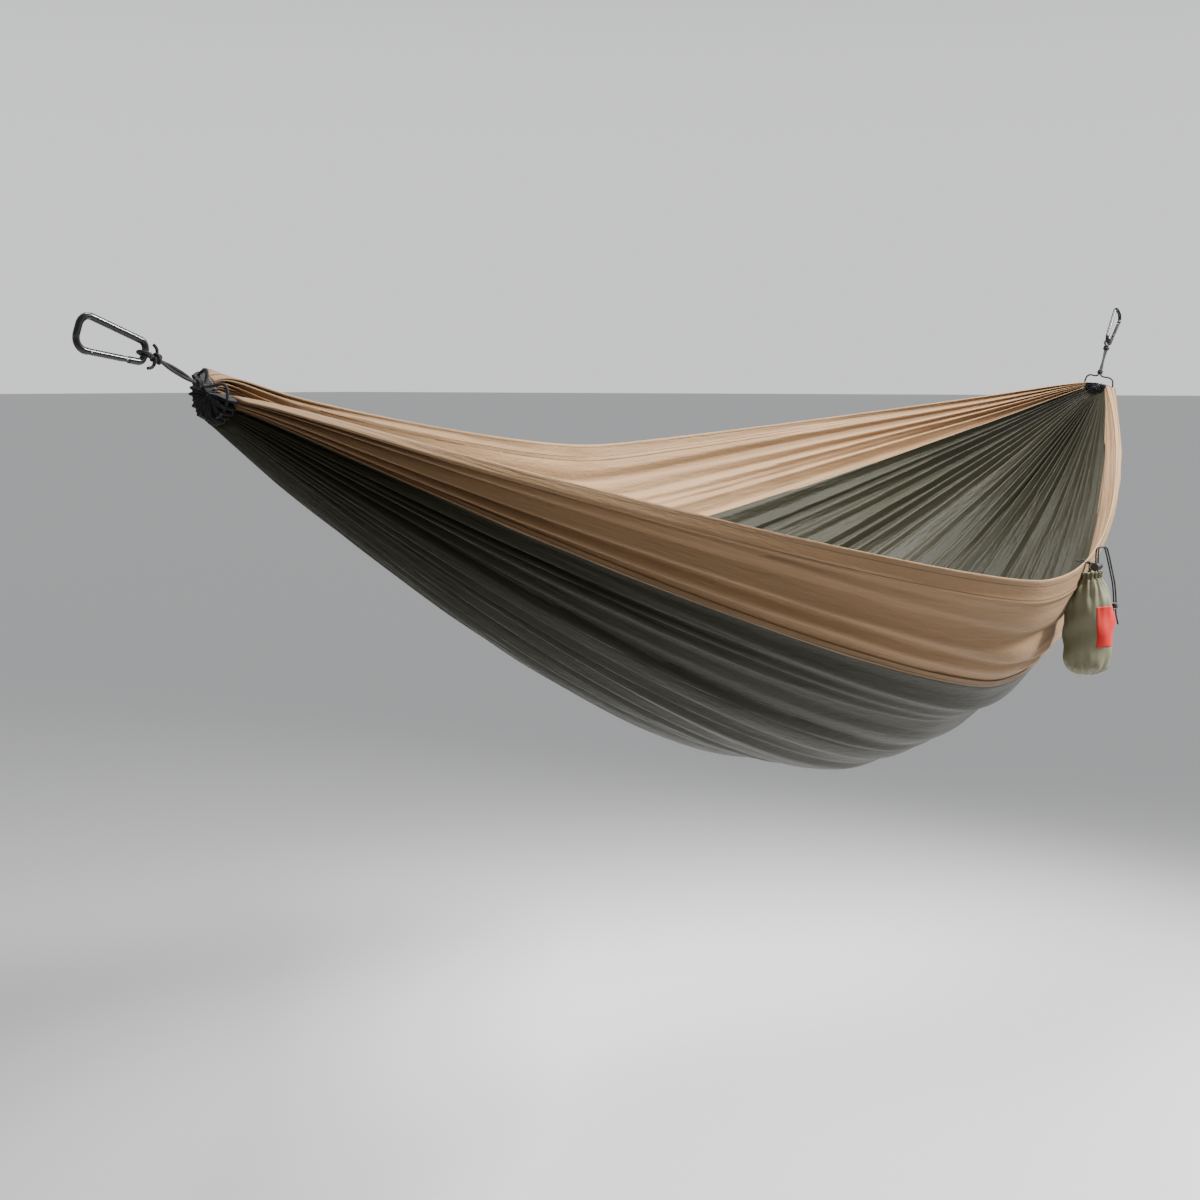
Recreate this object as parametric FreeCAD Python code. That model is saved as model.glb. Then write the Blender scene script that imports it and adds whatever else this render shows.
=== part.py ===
import FreeCAD, Part
import math
import os

Vec = FreeCAD.Vector

# Camping hammock, hung open between two anchor points. Units are mm, +Z is up.
# +X runs from the left anchor to the right anchor, and -Y is the side with the storage sack.
# The origin is where the left anchor bears on the inside of the left carabiner's wide end.

# ---- the hang ----
chord_length = 2800.0          # straight distance between the two gathered fabric ends
chord_rise = 10.0              # how much higher the right gathered end is than the left one
left_rise_deg = 20.0           # slope of the left carabiner and rope
right_rise_deg = 55.0          # slope of the right carabiner and rope
end_reach = 212.0              # anchor contact to gathered fabric end, along the rope

# ---- the bed: every lengthwise line of the cloth hangs about the chord ----
near_angle_deg = 65.5          # near hem, measured from straight down about the chord
far_angle_deg = 78.0           # far hem, on the other side
middle_drop = 680.0            # greatest distance from the chord along the middle of the cloth
near_drop = 690.0              # the same along the near hem
far_drop = 608.0               # the same along the far hem
near_low, middle_low, far_low = 0.38, 0.49, 0.56        # where along the chord each is greatest
near_full, middle_full, far_full = 1.27, 1.39, 1.12     # how rounded each line is: 1 is a straight V
left_radius = 30.0             # radius of the bunched cloth at the left end
right_radius = 36.0            # the same at the right end, which is drawn less tight
left_wrap_deg = (62.0, 15.0)   # how much further the far and near edges wrap round the left bunch
right_wrap_deg = (17.0, 10.0)  # the same at the right end
panel_thickness = 0.8
seam_thickness = 2.0
hem_thickness = 2.4
hem_share = 0.023              # each hem's share of the cloth width
near_seam_at = 0.881           # seam positions across the cloth, 0 at the far hem, 1 at the near hem
far_seam_at = 0.137
seam_share = 0.007

# ---- gathered ends ----
casing_length = 24.0
casing_thickness = 12.0
casing_pleats = 10
cord_diameter = 4.0

# ---- carabiners ----
carabiner_rod = 8.5
carabiner_inside = 88.0        # inside length, wide end to narrow end
spine_offset = 19.0            # centreline of the spine above the pull line
narrow_offset = -5.0           # where the narrow end meets the gate side
wide_offset = -24.0            # where the wide end meets the gate side
gate_rod = 7.6
gate_pin_diameter = 2.4
tie_height = 6.0               # where the cord loop sits on the narrow end

# ---- storage sack ----
sack_at = 0.45                 # share of the chord at which the sack hangs from the near hem
sack_half_width = 42.0
sack_half_depth = 34.0
sack_length = 150.0
sack_wall = 1.0
label_width = 58.0
label_height = 64.0
drawcord_diameter = 2.6
lock_diameter = 13.0


# ------------------------------------------------------------------ helpers

def smooth(value):
    return value * value * (3.0 - 2.0 * value)


def spread(first, last, count):
    step = (last - first) / (count - 1.0)
    return [first + step * index for index in range(count)]


def save(name, shape):
    shape.exportStep("parts/" + name + ".step")


def largest(shape):
    # drops the slivers a cut can leave behind
    return max(shape.Solids, key=lambda solid: solid.Volume)


def cylinder(radius, start, finish):
    run = finish.sub(start)
    return Part.makeCylinder(radius, run.Length, start, run)


def pipe_along(wire, radius):
    # a round cord or rod swept along a smooth wire
    first = wire.OrderedEdges[0]
    start = first.valueAt(first.FirstParameter)
    heading = first.tangentAt(first.FirstParameter)
    if first.Orientation == "Reversed":
        start = first.valueAt(first.LastParameter)
        heading = first.tangentAt(first.LastParameter).multiply(-1.0)
    ring = Part.Wire(Part.Circle(start, heading, radius).toShape())
    return wire.makePipeShell([ring], True, False)


def knots(count):
    # clamped uniform cubic knots and their multiplicities
    inner = count - 4
    return [4] + [1] * inner + [4], [float(index) for index in range(inner + 2)]


def smooth_line(poles):
    mults, values = knots(len(poles))
    curve = Part.BSplineCurve()
    curve.buildFromPolesMultsKnots(poles, mults, values, False, 3)
    return curve.toShape()


def cord_along(poles, radius):
    # a round cord on the smooth line that its control points pull into shape
    return pipe_along(Part.Wire(smooth_line(poles)), radius)


def filleted_path(corners, radii):
    # straight runs joined by tangent arcs
    edges = []
    last = corners[0]
    for index in range(1, len(corners) - 1):
        corner = corners[index]
        inward = corners[index - 1].sub(corner).normalize()
        onward = corners[index + 1].sub(corner).normalize()
        half = inward.getAngle(onward) / 2.0
        radius = radii[index - 1]
        tangent = radius / math.tan(half)
        begin = corner.add(Vec(inward).multiply(tangent))
        end = corner.add(Vec(onward).multiply(tangent))
        bisector = inward.add(onward).normalize()
        middle = corner.add(bisector.multiply(radius / math.sin(half) - radius))
        edges.append(Part.LineSegment(last, begin).toShape())
        edges.append(Part.Arc(begin, middle, end).toShape())
        last = end
    edges.append(Part.LineSegment(last, corners[-1]).toShape())
    return Part.Wire(edges)


def placed(shape, origin, along, across, up):
    # moves a shape from local axes (along, across, up) to the hammock's frame
    matrix = FreeCAD.Matrix(
        along.x, across.x, up.x, origin.x,
        along.y, across.y, up.y, origin.y,
        along.z, across.z, up.z, origin.z,
        0.0, 0.0, 0.0, 1.0)
    moved = shape.copy()
    moved.Placement = FreeCAD.Placement(matrix).multiply(shape.Placement)
    return moved


# ------------------------------------------------------------------ the bed

near_angle = math.radians(near_angle_deg)
far_angle = math.radians(far_angle_deg)
left_rise = math.radians(left_rise_deg)
right_rise = math.radians(right_rise_deg)
left_gather = Vec(end_reach * math.cos(left_rise), 0.0, -end_reach * math.sin(left_rise))
right_gather = left_gather.add(Vec(chord_length, 0.0, chord_rise))
right_anchor = right_gather.add(
    Vec(end_reach * math.cos(right_rise), 0.0, end_reach * math.sin(right_rise)))


def wrap_fade(distance):
    # the wrap round a bunch fades with distance from it, fast at first and then slowly
    return 0.8 * math.exp(-distance / 0.03) + 0.2 * math.exp(-distance / 0.14)


def open_angle(across):
    return -far_angle + across * (far_angle + near_angle)


def cloth_angle(along, across):
    # the angle about the chord; 'along' and 'across' both run from 0 to 1
    angle = open_angle(across)
    side = 1 if angle > 0.0 else 0
    limit = (far_angle, near_angle)[side]
    wrap = left_wrap_deg[side] * wrap_fade(along) + right_wrap_deg[side] * wrap_fade(1.0 - along)
    return angle * (1.0 + math.radians(wrap) / limit)


def cloth_drop(along, across):
    # distance from the chord to the cloth
    angle = open_angle(across)
    if angle > 0.0:
        share = angle / near_angle
        drop = middle_drop + (near_drop - middle_drop) * smooth(share)
        low = middle_low + (near_low - middle_low) * share
        full = middle_full + (near_full - middle_full) * share
    else:
        share = -angle / far_angle
        drop = middle_drop + (far_drop - middle_drop) * smooth(share)
        low = middle_low + (far_low - middle_low) * share
        full = middle_full + (far_full - middle_full) * share
    if along < low:
        reach = 1.0 - ((low - along) / low) ** full
    else:
        reach = 1.0 - ((along - low) / (1.0 - low)) ** full
    bunch = left_radius + (right_radius - left_radius) * along
    return bunch + (drop - bunch) * reach


def cloth_point(along, across, lift):
    angle = cloth_angle(along, across)
    radius = cloth_drop(along, across) + lift
    return Vec(
        left_gather.x + chord_length * along,
        -radius * math.sin(angle),
        left_gather.z + chord_rise * along - radius * math.cos(angle))


# lines across the cloth, closer together towards the bunched ends
LENGTHWISE = [s - 0.6 * math.sin(2.0 * math.pi * s) / (2.0 * math.pi) for s in spread(0.0, 1.0, 37)]


def cloth_surface(rows, lift):
    poles = [[cloth_point(along, across, lift) for across in rows] for along in LENGTHWISE]
    u_mults, u_knots = knots(len(LENGTHWISE))
    v_mults, v_knots = knots(len(rows))
    surface = Part.BSplineSurface()
    surface.buildFromPolesMultsKnots(
        poles, u_mults, v_mults, u_knots, v_knots, False, False, 3, 3)
    return surface


def cloth_strip(first, last, row_count, thickness):
    # a closed strip of cloth between two lengthwise lines, from one gather to the other
    rows = spread(first, last, row_count)
    faces = [cloth_surface(rows, 0.0).toShape(), cloth_surface(rows, thickness).toShape()]
    for across in (first, last):
        inner = smooth_line([cloth_point(along, across, 0.0) for along in LENGTHWISE])
        outer = smooth_line([cloth_point(along, across, thickness) for along in LENGTHWISE])
        faces.append(Part.makeRuledSurface(inner, outer))
    for along in (0.0, 1.0):
        inner = smooth_line([cloth_point(along, across, 0.0) for across in rows])
        outer = smooth_line([cloth_point(along, across, thickness) for across in rows])
        faces.append(Part.makeRuledSurface(inner, outer))
    shell = Part.makeShell(faces)
    shell.sewShape()
    solid = Part.makeSolid(shell)
    if solid.Volume < 0.0:
        solid.reverse()
    return solid


near_seam = (near_seam_at - seam_share / 2.0, near_seam_at + seam_share / 2.0)
far_seam = (far_seam_at - seam_share / 2.0, far_seam_at + seam_share / 2.0)
bed_pieces = {
    "far_hem": cloth_strip(0.0, hem_share, 4, hem_thickness),
    "far_side_panel": cloth_strip(hem_share, far_seam[0], 5, panel_thickness),
    "far_seam": cloth_strip(far_seam[0], far_seam[1], 4, seam_thickness),
    "centre_panel": cloth_strip(far_seam[1], near_seam[0], 15, panel_thickness),
    "near_seam": cloth_strip(near_seam[0], near_seam[1], 4, seam_thickness),
    "near_side_panel": cloth_strip(near_seam[1], 1.0 - hem_share, 5, panel_thickness),
    "near_hem": cloth_strip(1.0 - hem_share, 1.0, 4, hem_thickness),
}


# ------------------------------------------------------------------ gathered ends

def ring_block(near_x, far_x, inner, outer, start, sweep):
    # a block swept about the local X axis, from one angle below the axis to another
    corners = [
        Vec(near_x, -inner * math.sin(start), -inner * math.cos(start)),
        Vec(far_x, -inner * math.sin(start), -inner * math.cos(start)),
        Vec(far_x, -outer * math.sin(start), -outer * math.cos(start)),
        Vec(near_x, -outer * math.sin(start), -outer * math.cos(start)),
    ]
    face = Part.Face(Part.makePolygon(corners + [corners[0]]))
    return face.revolve(Vec(0, 0, 0), Vec(-1, 0, 0), math.degrees(sweep))


def casing(outward, radius, first, last):
    # the bunched channel: alternate pleats stand proud of each other
    sweep = (last - first) / casing_pleats
    middle = radius + panel_thickness / 2.0
    body = None
    for index in range(casing_pleats):
        proud = 1.6 if index % 2 else 0.0
        half = casing_thickness / 2.0 - 1.6 + proud
        tip = outward * (casing_length - 3.2 + 2.0 * proud)
        block = ring_block(0.0, tip, middle - half, middle + half, first + index * sweep, sweep)
        body = block if body is None else body.fuse(block)
    start = Vec(outward * 12.0, -middle * math.sin(first), -middle * math.cos(first))
    ring = Part.Wire(Part.Circle(start, Vec(0, -start.z, start.y), cord_diameter / 2.0 + 0.15).toShape())
    bore = Part.Face(ring).revolve(Vec(0, 0, 0), Vec(-1, 0, 0), math.degrees(last - first))
    return body.cut(bore).removeSplitter()


def gather_cord(outward, radius, first, last, knot_face, pull):
    # runs from the gather knot through the channel and back to the knot
    count = 9
    step = (last - first) / (count - 1)
    pole_radius = (radius + panel_thickness / 2.0) * 3.0 / (2.0 + math.cos(step))
    lead = math.radians(35.0)
    angles = [first - lead] + [first + step * index for index in range(count)] + [last + lead]
    ring = []
    for angle in angles:
        ring.append(Vec(outward * 12.0, -pole_radius * math.sin(angle), -pole_radius * math.cos(angle)))
    side = Vec(0, cord_diameter / 2.0 + 0.1, 0)
    forward = knot_face.add(Vec(pull).multiply(8.0))
    poles = [knot_face.add(side), forward.add(side)] + ring + [forward.sub(side), knot_face.sub(side)]
    return cord_along(poles, cord_diameter / 2.0)


def wrapped_knot(start, direction, length, radius, wraps):
    # a barrel knot: wraps of cord side by side around a core, turned as one scalloped shape
    pitch = length / wraps
    edges = [Part.LineSegment(Vec(0, 0, 0), Vec(radius, 0, 0)).toShape()]
    for index in range(wraps):
        low = Vec(radius, 0, pitch * index)
        crown = Vec(radius + pitch * 0.5, 0, pitch * (index + 0.5))
        high = Vec(radius, 0, pitch * (index + 1))
        edges.append(Part.Arc(low, crown, high).toShape())
    edges.append(Part.LineSegment(Vec(radius, 0, length), Vec(0, 0, length)).toShape())
    edges.append(Part.LineSegment(Vec(0, 0, length), Vec(0, 0, 0)).toShape())
    knot = Part.Face(Part.Wire(edges)).revolve(Vec(0, 0, 0), Vec(0, 0, 1), 360.0)
    knot.Placement = FreeCAD.Placement(start, FreeCAD.Rotation(Vec(0, 0, 1), direction))
    return knot


def twin_ropes(start, finish):
    gap = cord_diameter / 2.0 + 0.1
    ropes = []
    for side in (gap, -gap):
        ropes.append(cylinder(cord_diameter / 2.0, start.add(Vec(0, side, 0)), finish.add(Vec(0, side, 0))))
    return ropes


tie_start = carabiner_inside + carabiner_rod / 2.0 + 11.0      # along the pull line, from the anchor
tie_length = 14.0
gather_knot_start = end_reach - 40.0
gather_knot_length = 12.0


def end_fittings(side, anchor, pull, gather, outward, radius):
    # the ropes, knots, cord and channel at one end of the hammock
    end = 0.0 if outward < 0.0 else 1.0
    first = cloth_angle(end, 0.0)
    last = cloth_angle(end, 1.0)
    up = Vec(0, 1, 0).cross(pull)
    if up.z < 0.0:
        up = up.multiply(-1.0)
    lift = Vec(up).multiply(tie_height)
    tie_face = anchor.add(Vec(pull).multiply(tie_start)).add(lift)
    rope_start = anchor.add(Vec(pull).multiply(tie_start + tie_length)).add(lift)
    knot_start = anchor.add(Vec(pull).multiply(gather_knot_start))
    knot_end = anchor.add(Vec(pull).multiply(gather_knot_start + gather_knot_length))
    ropes = twin_ropes(rope_start, knot_start)
    rod = anchor.add(Vec(pull).multiply(carabiner_inside + carabiner_rod / 2.0)).add(lift)
    loop_half = ((11.0, 2.6), (7.6, 2.6), (5.6, 7.6), (-1.5, 9.0), (-7.4, 4.6))
    loop = [rod.add(Vec(pull).multiply(back)).add(Vec(0, wide, 0)) for back, wide in loop_half]
    for back, wide in reversed(loop_half):
        loop.append(rod.add(Vec(pull).multiply(back)).sub(Vec(0, wide, 0)))
    knot = wrapped_knot(tie_face, Vec(pull), tie_length, 4.6, 3)
    tails = []
    for sign in (1.0, -1.0):
        root = tie_face.add(Vec(pull).multiply(tie_length - 2.4)).add(Vec(up).multiply(sign * 6.6))
        tip = root.add(Vec(up).multiply(sign * 9.0)).sub(Vec(pull).multiply(5.0))
        tails.append(cylinder(cord_diameter / 2.0, root, tip).cut(knot))
    piece = wrapped_knot(knot_start, Vec(pull), gather_knot_length, 4.4, 3)
    local_face = knot_end.sub(gather)
    tie_loop = cord_along(loop, cord_diameter / 2.0)
    save(side + "_rope_a", ropes[0].cut(knot).cut(piece))
    save(side + "_rope_b", ropes[1].cut(knot).cut(piece))
    save(side + "_tie_loop", tie_loop)
    save(side + "_tie_knot", knot)
    save(side + "_tie_tail_a", tails[0])
    save(side + "_tie_tail_b", tails[1])
    save(side + "_gather_knot", piece)
    inner_cord = gather_cord(outward, radius, first, last, local_face, pull)
    inner_cord.translate(gather)
    channel = casing(outward, radius, first, last)
    channel.translate(gather)
    save(side + "_gather_cord", inner_cord)
    save(side + "_casing", largest(channel.cut(inner_cord)))


# ------------------------------------------------------------------ carabiners

def carabiner():
    # local X runs from the wide end to the narrow end, local Z points to the spine
    half = carabiner_rod / 2.0
    wide_x = -half
    narrow_x = carabiner_inside + half
    gate_corner = Vec(narrow_x, 0, narrow_offset)
    gate_run = Vec(wide_x, 0, wide_offset).sub(gate_corner).normalize()
    across = Vec(0, 1, 0)
    inward = Vec(-gate_run.z, 0, gate_run.x).multiply(-1.0)

    def on_gate(distance, shift=0.0):
        return gate_corner.add(Vec(gate_run).multiply(distance)).add(Vec(inward).multiply(shift))

    path = filleted_path(
        [on_gate(77.5), Vec(wide_x, 0, wide_offset), Vec(wide_x, 0, spine_offset),
         Vec(narrow_x, 0, spine_offset), gate_corner, on_gate(19.6)],
        [15.0, 14.0, 10.0, 8.0])
    frame = pipe_along(path, half)

    def plate(start, finish, low, high, thickness):
        # a flat plate in the carabiner's plane, centred across it
        base = on_gate(start, low).sub(Vec(across).multiply(thickness / 2.0))
        corners = [
            base,
            on_gate(finish, low).sub(Vec(across).multiply(thickness / 2.0)),
            on_gate(finish, high).sub(Vec(across).multiply(thickness / 2.0)),
            on_gate(start, high).sub(Vec(across).multiply(thickness / 2.0)),
        ]
        face = Part.Face(Part.makePolygon(corners + [base]))
        return face.extrude(Vec(across).multiply(thickness))

    def cross_rod(distance, radius, width):
        middle = on_gate(distance)
        reach = Vec(across).multiply(width / 2.0)
        return cylinder(radius, middle.sub(reach), middle.add(reach))

    pin_radius = gate_pin_diameter / 2.0
    hinge = 24.0
    nose = 74.0
    tongue = plate(18.0, hinge, -3.2, 3.2, 3.6).fuse(cross_rod(hinge, 3.2, 3.6))
    hook = plate(71.8, 79.0, -2.2, 2.2, 2.4)
    hook = hook.cut(plate(nose - 1.6, nose + 1.6, 0.0, 3.0, 4.0)).cut(cross_rod(nose, 1.6, 4.0))
    frame = frame.fuse(tongue).fuse(hook).cut(cross_rod(hinge, pin_radius, 20.0)).removeSplitter()

    gate = cylinder(gate_rod / 2.0, on_gate(hinge), on_gate(76.7))
    knuckle = cross_rod(hinge, gate_rod / 2.0, gate_rod)
    knuckle = knuckle.common(cylinder(gate_rod / 2.0, on_gate(hinge - 6.0), on_gate(hinge + 6.0)))
    gate = gate.fuse(knuckle)
    gate = gate.cut(plate(hinge - 6.0, hinge + 4.2, -6.0, 6.0, 4.4))
    gate = gate.cut(plate(70.8, 80.0, -6.0, 6.0, 3.4))
    gate = gate.cut(cross_rod(hinge, pin_radius + 0.06, 20.0))
    gate = gate.cut(cross_rod(nose, pin_radius, 20.0)).removeSplitter()
    hinge_pin = cross_rod(hinge, pin_radius, gate_rod - 0.6)
    nose_pin = cross_rod(nose, pin_radius, gate_rod - 0.6)
    return frame, gate, hinge_pin, nose_pin


def place_carabiner(side, anchor, pull, across, up):
    names = ("_carabiner_frame", "_gate", "_gate_hinge_pin", "_gate_nose_pin")
    for name, shape in zip(names, carabiner()):
        save(side + name, placed(shape, anchor, pull, across, up))


# ------------------------------------------------------------------ storage sack

def oval(half_width, half_depth, height):
    points = []
    for index in range(16):
        turn = 2.0 * math.pi * index / 16.0
        points.append(Vec(half_width * math.cos(turn), half_depth * math.sin(turn), height))
    curve = Part.BSplineCurve()
    curve.interpolate(points, PeriodicFlag=True)
    return Part.Wire(curve.toShape())


SACK_SHAPE = (                 # share of length, share of half width, share of half depth
    (0.0, 0.50, 0.46), (0.09, 0.70, 0.66), (0.24, 0.92, 0.90), (0.45, 1.0, 1.0),
    (0.68, 0.99, 0.99), (0.86, 0.90, 0.89), (0.96, 0.70, 0.68), (1.0, 0.46, 0.44))
mouth_top = -14.0
mouth_bottom = -24.0


def sack_form(grow):
    # the filled-out sack, its sides moved out by 'grow'; moved inward, its ends move in as well
    inset = max(-grow, 0.0)
    wires = []
    for share, wide, deep in SACK_SHAPE:
        height = mouth_bottom - inset - share * (sack_length - 2.0 * inset)
        wires.append(oval(sack_half_width * wide + grow, sack_half_depth * deep + grow, height))
    return Part.makeLoft(wires, True)


def storage_sack(hang):
    # local origin is the bar the sack hangs from
    outer = sack_form(0.0)
    body = outer.cut(sack_form(-sack_wall))
    channel = Part.makeLoft([
        oval(sack_half_width * 0.50, sack_half_depth * 0.46, mouth_bottom),
        oval(sack_half_width * 0.45, sack_half_depth * 0.46, (mouth_top + mouth_bottom) / 2.0),
        oval(sack_half_width * 0.52, sack_half_depth * 0.50, mouth_top)], True)
    patch = Part.makeBox(
        label_width, 40.0, label_height, Vec(-label_width / 2.0, -40.0, mouth_bottom - 43.0 - label_height))
    label = sack_form(0.9).cut(outer).common(patch)
    bar = 1.25
    tape = cylinder(bar + 1.4, Vec(-5, 0, 0), Vec(5, 0, 0))
    strap = Part.makeBox(10.0, 1.4, -mouth_top - 1.0, Vec(-5.0, -0.7, mouth_top))
    tape = tape.fuse(strap).cut(cylinder(bar + 0.4, Vec(-6, 0, 0), Vec(6, 0, 0))).removeSplitter()
    pieces = {"sack_body": body, "sack_channel": channel, "sack_label": label, "sack_tape": tape}

    radius = drawcord_diameter / 2.0
    front = -11.0
    cord_knot = wrapped_knot(Vec(30.0, front - 20.0, -64.0), Vec(0, 0, -1), 11.0, 3.6, 3)
    pieces["drawcord_knot"] = cord_knot
    for name, sign in (("a", 1.0), ("b", -1.0)):
        shift = sign * (radius + 0.6)
        corners = [Vec(x, front + shift + y, z) for x, y, z in (
            (0, 0, mouth_top), (0, 0, 25), (17, -8, 25), (29, -19, -40), (30, -20, -64))]
        pieces["drawcord_strand_" + name] = pipe_along(filleted_path(corners, (8.0, 8.0, 40.0)), radius)
        tail = [(30, 1, -20, -75), (30, 1, -20, -81), (31, 1.5, -20.5, -89), (31, 2.2, -22, -99)]
        poles = [Vec(x, front + apart * shift + y, z) for x, apart, y, z in tail]
        pieces["drawcord_tail_" + name] = cord_along(poles, radius)
    half = lock_diameter / 2.0
    level = -5.5
    barrel = cylinder(half, Vec(-10, front, level), Vec(6.5, front, level))
    barrel = barrel.cut(cylinder(4.3, Vec(-8.5, front, level), Vec(7.0, front, level)))
    barrel = barrel.cut(Part.makeBox(4.4, 7.6, 20.0, Vec(-2.2, front - 3.8, level - 10.0)))
    button = cylinder(4.0, Vec(-3.5, front, level), Vec(10.5, front, level))
    button = button.fuse(cylinder(5.0, Vec(10.0, front, level), Vec(13.0, front, level)))
    button = button.cut(Part.makeBox(7.2, 7.6, 20.0, Vec(-2.2, front - 3.8, level - 10.0)))
    pieces["cord_lock_barrel"] = barrel
    pieces["cord_lock_button"] = button.removeSplitter()
    for name in pieces:
        pieces[name].translate(hang)
        save(name, pieces[name])


def hang_loop(edge, outward, hang):
    # a short cord staple sewn to the hem; the sack's tape turns on its bar
    bar = 1.25
    inset = outward.cross(Vec(1, 0, 0)).multiply(-1.0)
    if inset.z > 0.0:
        inset = inset.multiply(-1.0)
    root = edge.add(Vec(inset).multiply(6.0)).sub(Vec(outward).multiply(3.2))
    body = cylinder(bar, hang.add(Vec(-8, 0, 0)), hang.add(Vec(8, 0, 0)))
    for side in (-8.0, 8.0):
        corner = hang.add(Vec(side, 0, 0))
        body = body.fuse(Part.makeSphere(bar, corner)).fuse(cylinder(bar, root.add(Vec(side, 0, 0)), corner))
    return largest(body.cut(bed_pieces["near_hem"]).removeSplitter())


# ------------------------------------------------------------------ build

os.makedirs("parts", exist_ok=True)

left_pull = Vec(left_gather).normalize()
right_pull = right_gather.sub(right_anchor).normalize()
for name in bed_pieces:
    save(name, bed_pieces[name])
end_fittings("left", Vec(0, 0, 0), left_pull, left_gather, -1.0, left_radius)
end_fittings("right", right_anchor, right_pull, right_gather, 1.0, right_radius)
place_carabiner("left", Vec(0, 0, 0), left_pull, Vec(0, 1, 0),
                Vec(math.sin(left_rise), 0, math.cos(left_rise)))
place_carabiner("right", right_anchor, right_pull, Vec(0, -1, 0),
                Vec(-math.sin(right_rise), 0, math.cos(right_rise)))

hem_edge = cloth_point(sack_at, 1.0, hem_thickness)
hem_angle = cloth_angle(sack_at, 1.0)
hem_outward = Vec(0, -math.sin(hem_angle), -math.cos(hem_angle))
sack_hang = hem_edge.add(Vec(hem_outward).multiply(18.0))
save("hang_loop", hang_loop(hem_edge, hem_outward, sack_hang))
storage_sack(sack_hang)
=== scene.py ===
import bpy
import bmesh
import math
import numpy as np
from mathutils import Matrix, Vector


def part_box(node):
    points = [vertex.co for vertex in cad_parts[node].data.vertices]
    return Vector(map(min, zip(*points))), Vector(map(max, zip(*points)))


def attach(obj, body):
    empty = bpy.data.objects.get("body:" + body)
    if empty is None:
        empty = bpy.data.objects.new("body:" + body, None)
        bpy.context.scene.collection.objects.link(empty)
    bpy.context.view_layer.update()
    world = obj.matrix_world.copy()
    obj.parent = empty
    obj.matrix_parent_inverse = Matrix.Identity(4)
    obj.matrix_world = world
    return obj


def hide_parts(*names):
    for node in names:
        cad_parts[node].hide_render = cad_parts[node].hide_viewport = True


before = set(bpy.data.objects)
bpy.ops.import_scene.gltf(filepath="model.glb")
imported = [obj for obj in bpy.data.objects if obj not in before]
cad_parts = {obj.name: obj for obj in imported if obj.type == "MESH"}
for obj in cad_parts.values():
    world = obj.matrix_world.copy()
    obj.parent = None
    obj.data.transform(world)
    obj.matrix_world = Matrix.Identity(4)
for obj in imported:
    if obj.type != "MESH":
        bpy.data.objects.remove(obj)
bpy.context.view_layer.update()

# ------------------------------------------------------------------ driving sizes, metres
CHORD, CHORD_RISE = 2.800, 0.010
REACH = 0.212
LEFT_RISE, RIGHT_RISE = math.radians(20.0), math.radians(55.0)
NEAR_ANGLE, FAR_ANGLE = math.radians(65.5), math.radians(78.0)
MIDDLE_DROP, NEAR_DROP, FAR_DROP = 0.680, 0.690, 0.608
MIDDLE_LOW, NEAR_LOW, FAR_LOW = 0.49, 0.38, 0.56
MIDDLE_FULL, NEAR_FULL, FAR_FULL = 1.39, 1.27, 1.12
LEFT_RADIUS, RIGHT_RADIUS = 0.030, 0.036
LEFT_WRAP = (math.radians(62.0), math.radians(15.0))
RIGHT_WRAP = (math.radians(17.0), math.radians(10.0))
HEM, SEAM = 0.023, 0.007  # shares of the cloth's width
PANEL_INSET = 0.6 * HEM  # where a side panel starts under its hem band
NEAR_SEAM, FAR_SEAM = 0.881, 0.137
CLOTH_WIDTH, CLOTH_LENGTH = 1.80, 3.12
CLOTH_THICK, BAND_THICK = 0.0009, 0.0022
HEM_LIFT, TAPE_LIFT = 0.0006, 0.0008
BAND_COLUMNS = 7
PLEATS = 36
PLEAT_FLOOR = 0.42  # share of a pleat's height left past its own reach
EDGE_CALM = 0.62  # share of it left along the two long edges
VALLEY_ROUNDING = 0.05  # rounds the lowest point of every line along the cloth
HANDOVER_START, HANDOVER_LONG = 0.34, 0.30  # where the left end's pleats give way to the right's
ROW_CROWDING = 0.18  # the mesh rows stand closer together at the two ends
UV_WIDTH_SHARE = 0.88

# ledges in the cloth: (place across at u = 0, its change along u), first u, last u, depth
NEAR_CREASES = (
    ((0.990, -0.115), 0.12, 0.56, 0.0080),
    ((0.940, -0.075), 0.14, 0.62, 0.0090),
    ((0.908, -0.030), 0.22, 0.52, 0.0050),
    ((0.955, 0.030), 0.03, 0.20, 0.0060),
    ((0.860, -0.050), 0.10, 0.60, 0.0060),
    ((0.800, 0.020), 0.14, 0.58, 0.0060))
FAR_CREASES = (
    ((0.052, 0.0), 0.05, 0.95, 0.0045),
    ((0.118, -0.040), 0.40, 0.92, 0.0060),
    ((0.085, 0.010), 0.24, 0.70, 0.0045))

LEFT = np.array([REACH * math.cos(LEFT_RISE), 0.0, -REACH * math.sin(LEFT_RISE)])
RIGHT = LEFT + np.array([CHORD, 0.0, CHORD_RISE])
ANCHOR_R = RIGHT + np.array([REACH * math.cos(RIGHT_RISE), 0.0,
                             REACH * math.sin(RIGHT_RISE)])


# ------------------------------------------------------------------ materials

def node_material(name, color, rough, metallic=0.0, sheen=0.0, coat=0.0):
    mat = bpy.data.materials.new(name)
    mat.use_nodes = True
    tree = mat.node_tree
    bsdf = tree.nodes["Principled BSDF"]
    bsdf.inputs["Base Color"].default_value = (*color, 1.0)
    bsdf.inputs["Roughness"].default_value = rough
    bsdf.inputs["Metallic"].default_value = metallic
    bsdf.inputs["Sheen Weight"].default_value = sheen
    bsdf.inputs["Sheen Roughness"].default_value = 0.4
    bsdf.inputs["Coat Weight"].default_value = coat
    return mat, tree, bsdf


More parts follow.
